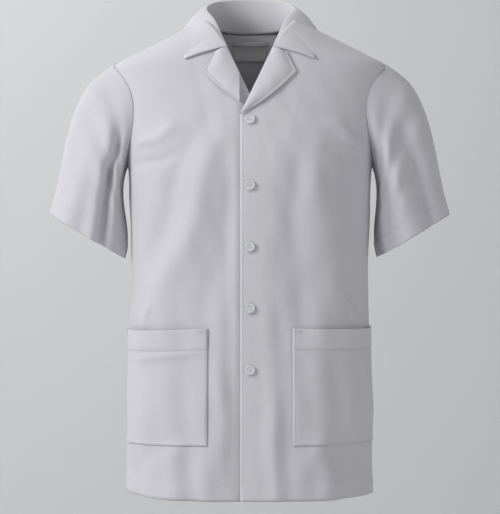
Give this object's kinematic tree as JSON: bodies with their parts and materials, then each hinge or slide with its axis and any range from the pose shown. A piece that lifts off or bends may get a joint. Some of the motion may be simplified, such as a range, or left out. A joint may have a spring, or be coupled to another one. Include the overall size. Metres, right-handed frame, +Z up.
{
  "type": "lab coat",
  "caption": "White short-sleeved lab coat with a notched collar, buttoned front and two wide hip pockets, as worn by a standing figure.",
  "frame": {"origin": "middle of the neck opening, level with the high points of the shoulders", "axes": "+Z up, the coat's front faces -Y, +X is the wearer's left"},
  "size_m": [0.6548, 0.2772, 0.822],
  "materials": {
    "coat_cloth": "matte plain weave",
    "interlining": "matte",
    "sewing_thread": "matte",
    "label_tape": "satin",
    "loop_tape": "matte",
    "button_plastic": "pearly gloss"
  },
  "bodies": {
    "root": {"back_panel": "coat_cloth", "left_front": "coat_cloth", "right_front": "coat_cloth", "left_front_facing": "coat_cloth", "right_front_facing": "coat_cloth", "back_neck_facing": "coat_cloth", "under_collar": "coat_cloth", "collar_interlining": "interlining", "upper_collar": "coat_cloth", "left_pocket": "coat_cloth", "right_pocket": "coat_cloth", "pocket_tacks": "sewing_thread", "buttonhole_stitching": "sewing_thread", "hanger_loop": "loop_tape", "neck_label": "label_tape", "care_label": "label_tape"},
    "left_sleeve": {"left_sleeve": "coat_cloth"},
    "right_sleeve": {"right_sleeve": "coat_cloth"},
    "left_lapel": {"left_lapel": "coat_cloth"},
    "right_lapel": {"right_lapel": "coat_cloth"},
    "button_1": {"button_1": "button_plastic", "button_1_thread": "sewing_thread"},
    "button_2": {"button_2": "button_plastic", "button_2_thread": "sewing_thread"},
    "button_3": {"button_3": "button_plastic", "button_3_thread": "sewing_thread"},
    "button_4": {"button_4": "button_plastic", "button_4_thread": "sewing_thread"},
    "button_5": {"button_5": "button_plastic", "button_5_thread": "sewing_thread"}
  },
  "joints": [
    {"name": "left_sleeve_swing", "type": "hinge", "parent": "root", "child": "left_sleeve", "pos_m": [0.229, 0.004, -0.076], "axis": [0, -1, 0], "range_deg": [0, 30]},
    {"name": "right_sleeve_swing", "type": "hinge", "parent": "root", "child": "right_sleeve", "pos_m": [-0.229, 0.004, -0.076], "axis": [0, 1, 0], "range_deg": [0, 30]},
    {"name": "left_lapel_lift", "type": "hinge", "parent": "root", "child": "left_lapel", "pos_m": [-0.016, -0.1076, -0.16406], "axis": [-0.4135, -0.2333, -0.8801], "range_deg": [0, 45], "stiffness_Nm_per_rad": 0.004},
    {"name": "right_lapel_lift", "type": "hinge", "parent": "root", "child": "right_lapel", "pos_m": [0.016, -0.1076, -0.16406], "axis": [-0.4135, 0.2333, 0.8801], "range_deg": [0, 45], "stiffness_Nm_per_rad": 0.004},
    {"name": "button_1_turn", "type": "hinge", "parent": "root", "child": "button_1", "pos_m": [0, -0.10717, -0.172], "axis": [0, -0.9673, 0.2536], "range_deg": [-40, 40], "stiffness_Nm_per_rad": 0.0001},
    {"name": "button_2_turn", "type": "hinge", "parent": "root", "child": "button_2", "pos_m": [0, -0.125, -0.277], "axis": [0, -1, 0], "range_deg": [-40, 40], "stiffness_Nm_per_rad": 0.0001},
    {"name": "button_3_turn", "type": "hinge", "parent": "root", "child": "button_3", "pos_m": [0, -0.125, -0.3745], "axis": [0, -1, 0], "range_deg": [-40, 40], "stiffness_Nm_per_rad": 0.0001},
    {"name": "button_4_turn", "type": "hinge", "parent": "root", "child": "button_4", "pos_m": [0, -0.12579, -0.472], "axis": [0, -0.9998, 0.0188], "range_deg": [-40, 40], "stiffness_Nm_per_rad": 0.0001},
    {"name": "button_5_turn", "type": "hinge", "parent": "root", "child": "button_5", "pos_m": [0, -0.12762, -0.5695], "axis": [0, -0.9998, 0.0188], "range_deg": [-40, 40], "stiffness_Nm_per_rad": 0.0001}
  ]
}
